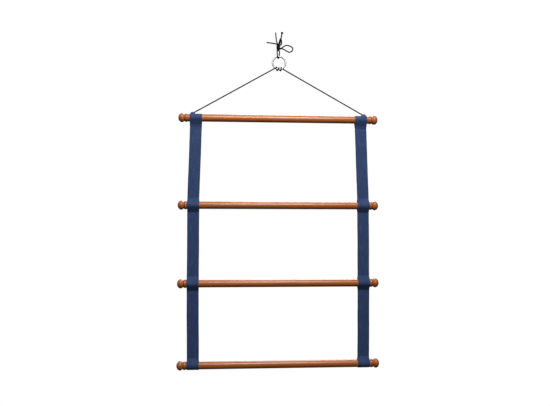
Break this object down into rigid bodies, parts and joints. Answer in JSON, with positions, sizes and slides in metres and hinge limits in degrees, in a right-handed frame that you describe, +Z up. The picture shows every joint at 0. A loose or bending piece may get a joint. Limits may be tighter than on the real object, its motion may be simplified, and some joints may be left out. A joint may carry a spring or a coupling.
{
  "type": "hanging quilt rack",
  "caption": "Hanging quilt rack: varnished wooden bars with turned ball ends, held one below another in navy webbing straps and slung by a cord from a steel ring.",
  "frame": {"origin": "the point inside the top of the hanging ring, where a hook carries the rack", "axes": "+X along the bars, to the right as seen from the front; +Y towards the back; +Z up"},
  "size_m": [0.68, 0.031, 1.1455],
  "materials": {
    "ring_steel": "bright nickel plate, lightly tarnished",
    "tie_cord": "braided black cord",
    "sling_cord": "braided charcoal cord",
    "webbing": "woven navy cotton webbing",
    "thread": "navy sewing thread",
    "varnished_wood": "warm red-brown stain under satin varnish",
    "pin_wood": "bare beech"
  },
  "bodies": {
    "ring": {"hanging_ring": "ring_steel", "sling_hitch": "sling_cord", "tie_strands": "tie_cord", "tie_bow_right": "tie_cord", "tie_bow_left": "tie_cord", "tie_bow_upper": "tie_cord", "tie_tail_left": "tie_cord", "tie_tail_right": "tie_cord", "tie_knot": "tie_cord", "tie_end_knot": "tie_cord"},
    "sling": {"sling_leg_left": "sling_cord", "sling_leg_right": "sling_cord", "cord_stoppers": "sling_cord", "loop_1_left": "webbing", "loop_1_right": "webbing", "seam_stitches_1": "thread"},
    "tier_2": {"strap_2_left": "webbing", "strap_2_right": "webbing", "loop_2_left": "webbing", "loop_2_right": "webbing", "seam_stitches_2": "thread"},
    "tier_3": {"strap_3_left": "webbing", "strap_3_right": "webbing", "loop_3_left": "webbing", "loop_3_right": "webbing", "seam_stitches_3": "thread"},
    "tier_4": {"strap_4_left": "webbing", "strap_4_right": "webbing", "loop_4_left": "webbing", "loop_4_right": "webbing", "seam_stitches_4": "thread"},
    "bar_1": {"rod_1": "varnished_wood", "finial_1_left": "varnished_wood", "finial_1_right": "varnished_wood", "finial_pins_1": "pin_wood"},
    "bar_2": {"rod_2": "varnished_wood", "finial_2_left": "varnished_wood", "finial_2_right": "varnished_wood", "finial_pins_2": "pin_wood"},
    "bar_3": {"rod_3": "varnished_wood", "finial_3_left": "varnished_wood", "finial_3_right": "varnished_wood", "finial_pins_3": "pin_wood"},
    "bar_4": {"rod_4": "varnished_wood", "finial_4_left": "varnished_wood", "finial_4_right": "varnished_wood", "finial_pins_4": "pin_wood"}
  },
  "joints": [
    {"name": "sling_swing", "type": "hinge", "parent": "ring", "child": "sling", "pos_m": [0, 0, -0.0406], "axis": [-1, 0, 0], "range_deg": [-90, 90]},
    {"name": "bar_1_turn", "type": "hinge", "parent": "sling", "child": "bar_1", "pos_m": [0, 0, -0.212], "axis": [1, 0, 0], "continuous": true},
    {"name": "tier_2_fold", "type": "hinge", "parent": "sling", "child": "tier_2", "pos_m": [0, 0, -0.242], "axis": [1, 0, 0], "range_deg": [-135, 135]},
    {"name": "bar_2_turn", "type": "hinge", "parent": "tier_2", "child": "bar_2", "pos_m": [0, 0, -0.507], "axis": [1, 0, 0], "continuous": true},
    {"name": "tier_3_fold", "type": "hinge", "parent": "tier_2", "child": "tier_3", "pos_m": [0, 0, -0.537], "axis": [-1, 0, 0], "range_deg": [-135, 135]},
    {"name": "bar_3_turn", "type": "hinge", "parent": "tier_3", "child": "bar_3", "pos_m": [0, 0, -0.769], "axis": [1, 0, 0], "continuous": true},
    {"name": "tier_4_fold", "type": "hinge", "parent": "tier_3", "child": "tier_4", "pos_m": [0, 0, -0.799], "axis": [1, 0, 0], "range_deg": [-135, 135]},
    {"name": "bar_4_turn", "type": "hinge", "parent": "tier_4", "child": "bar_4", "pos_m": [0, 0, -1.039], "axis": [1, 0, 0], "continuous": true}
  ]
}
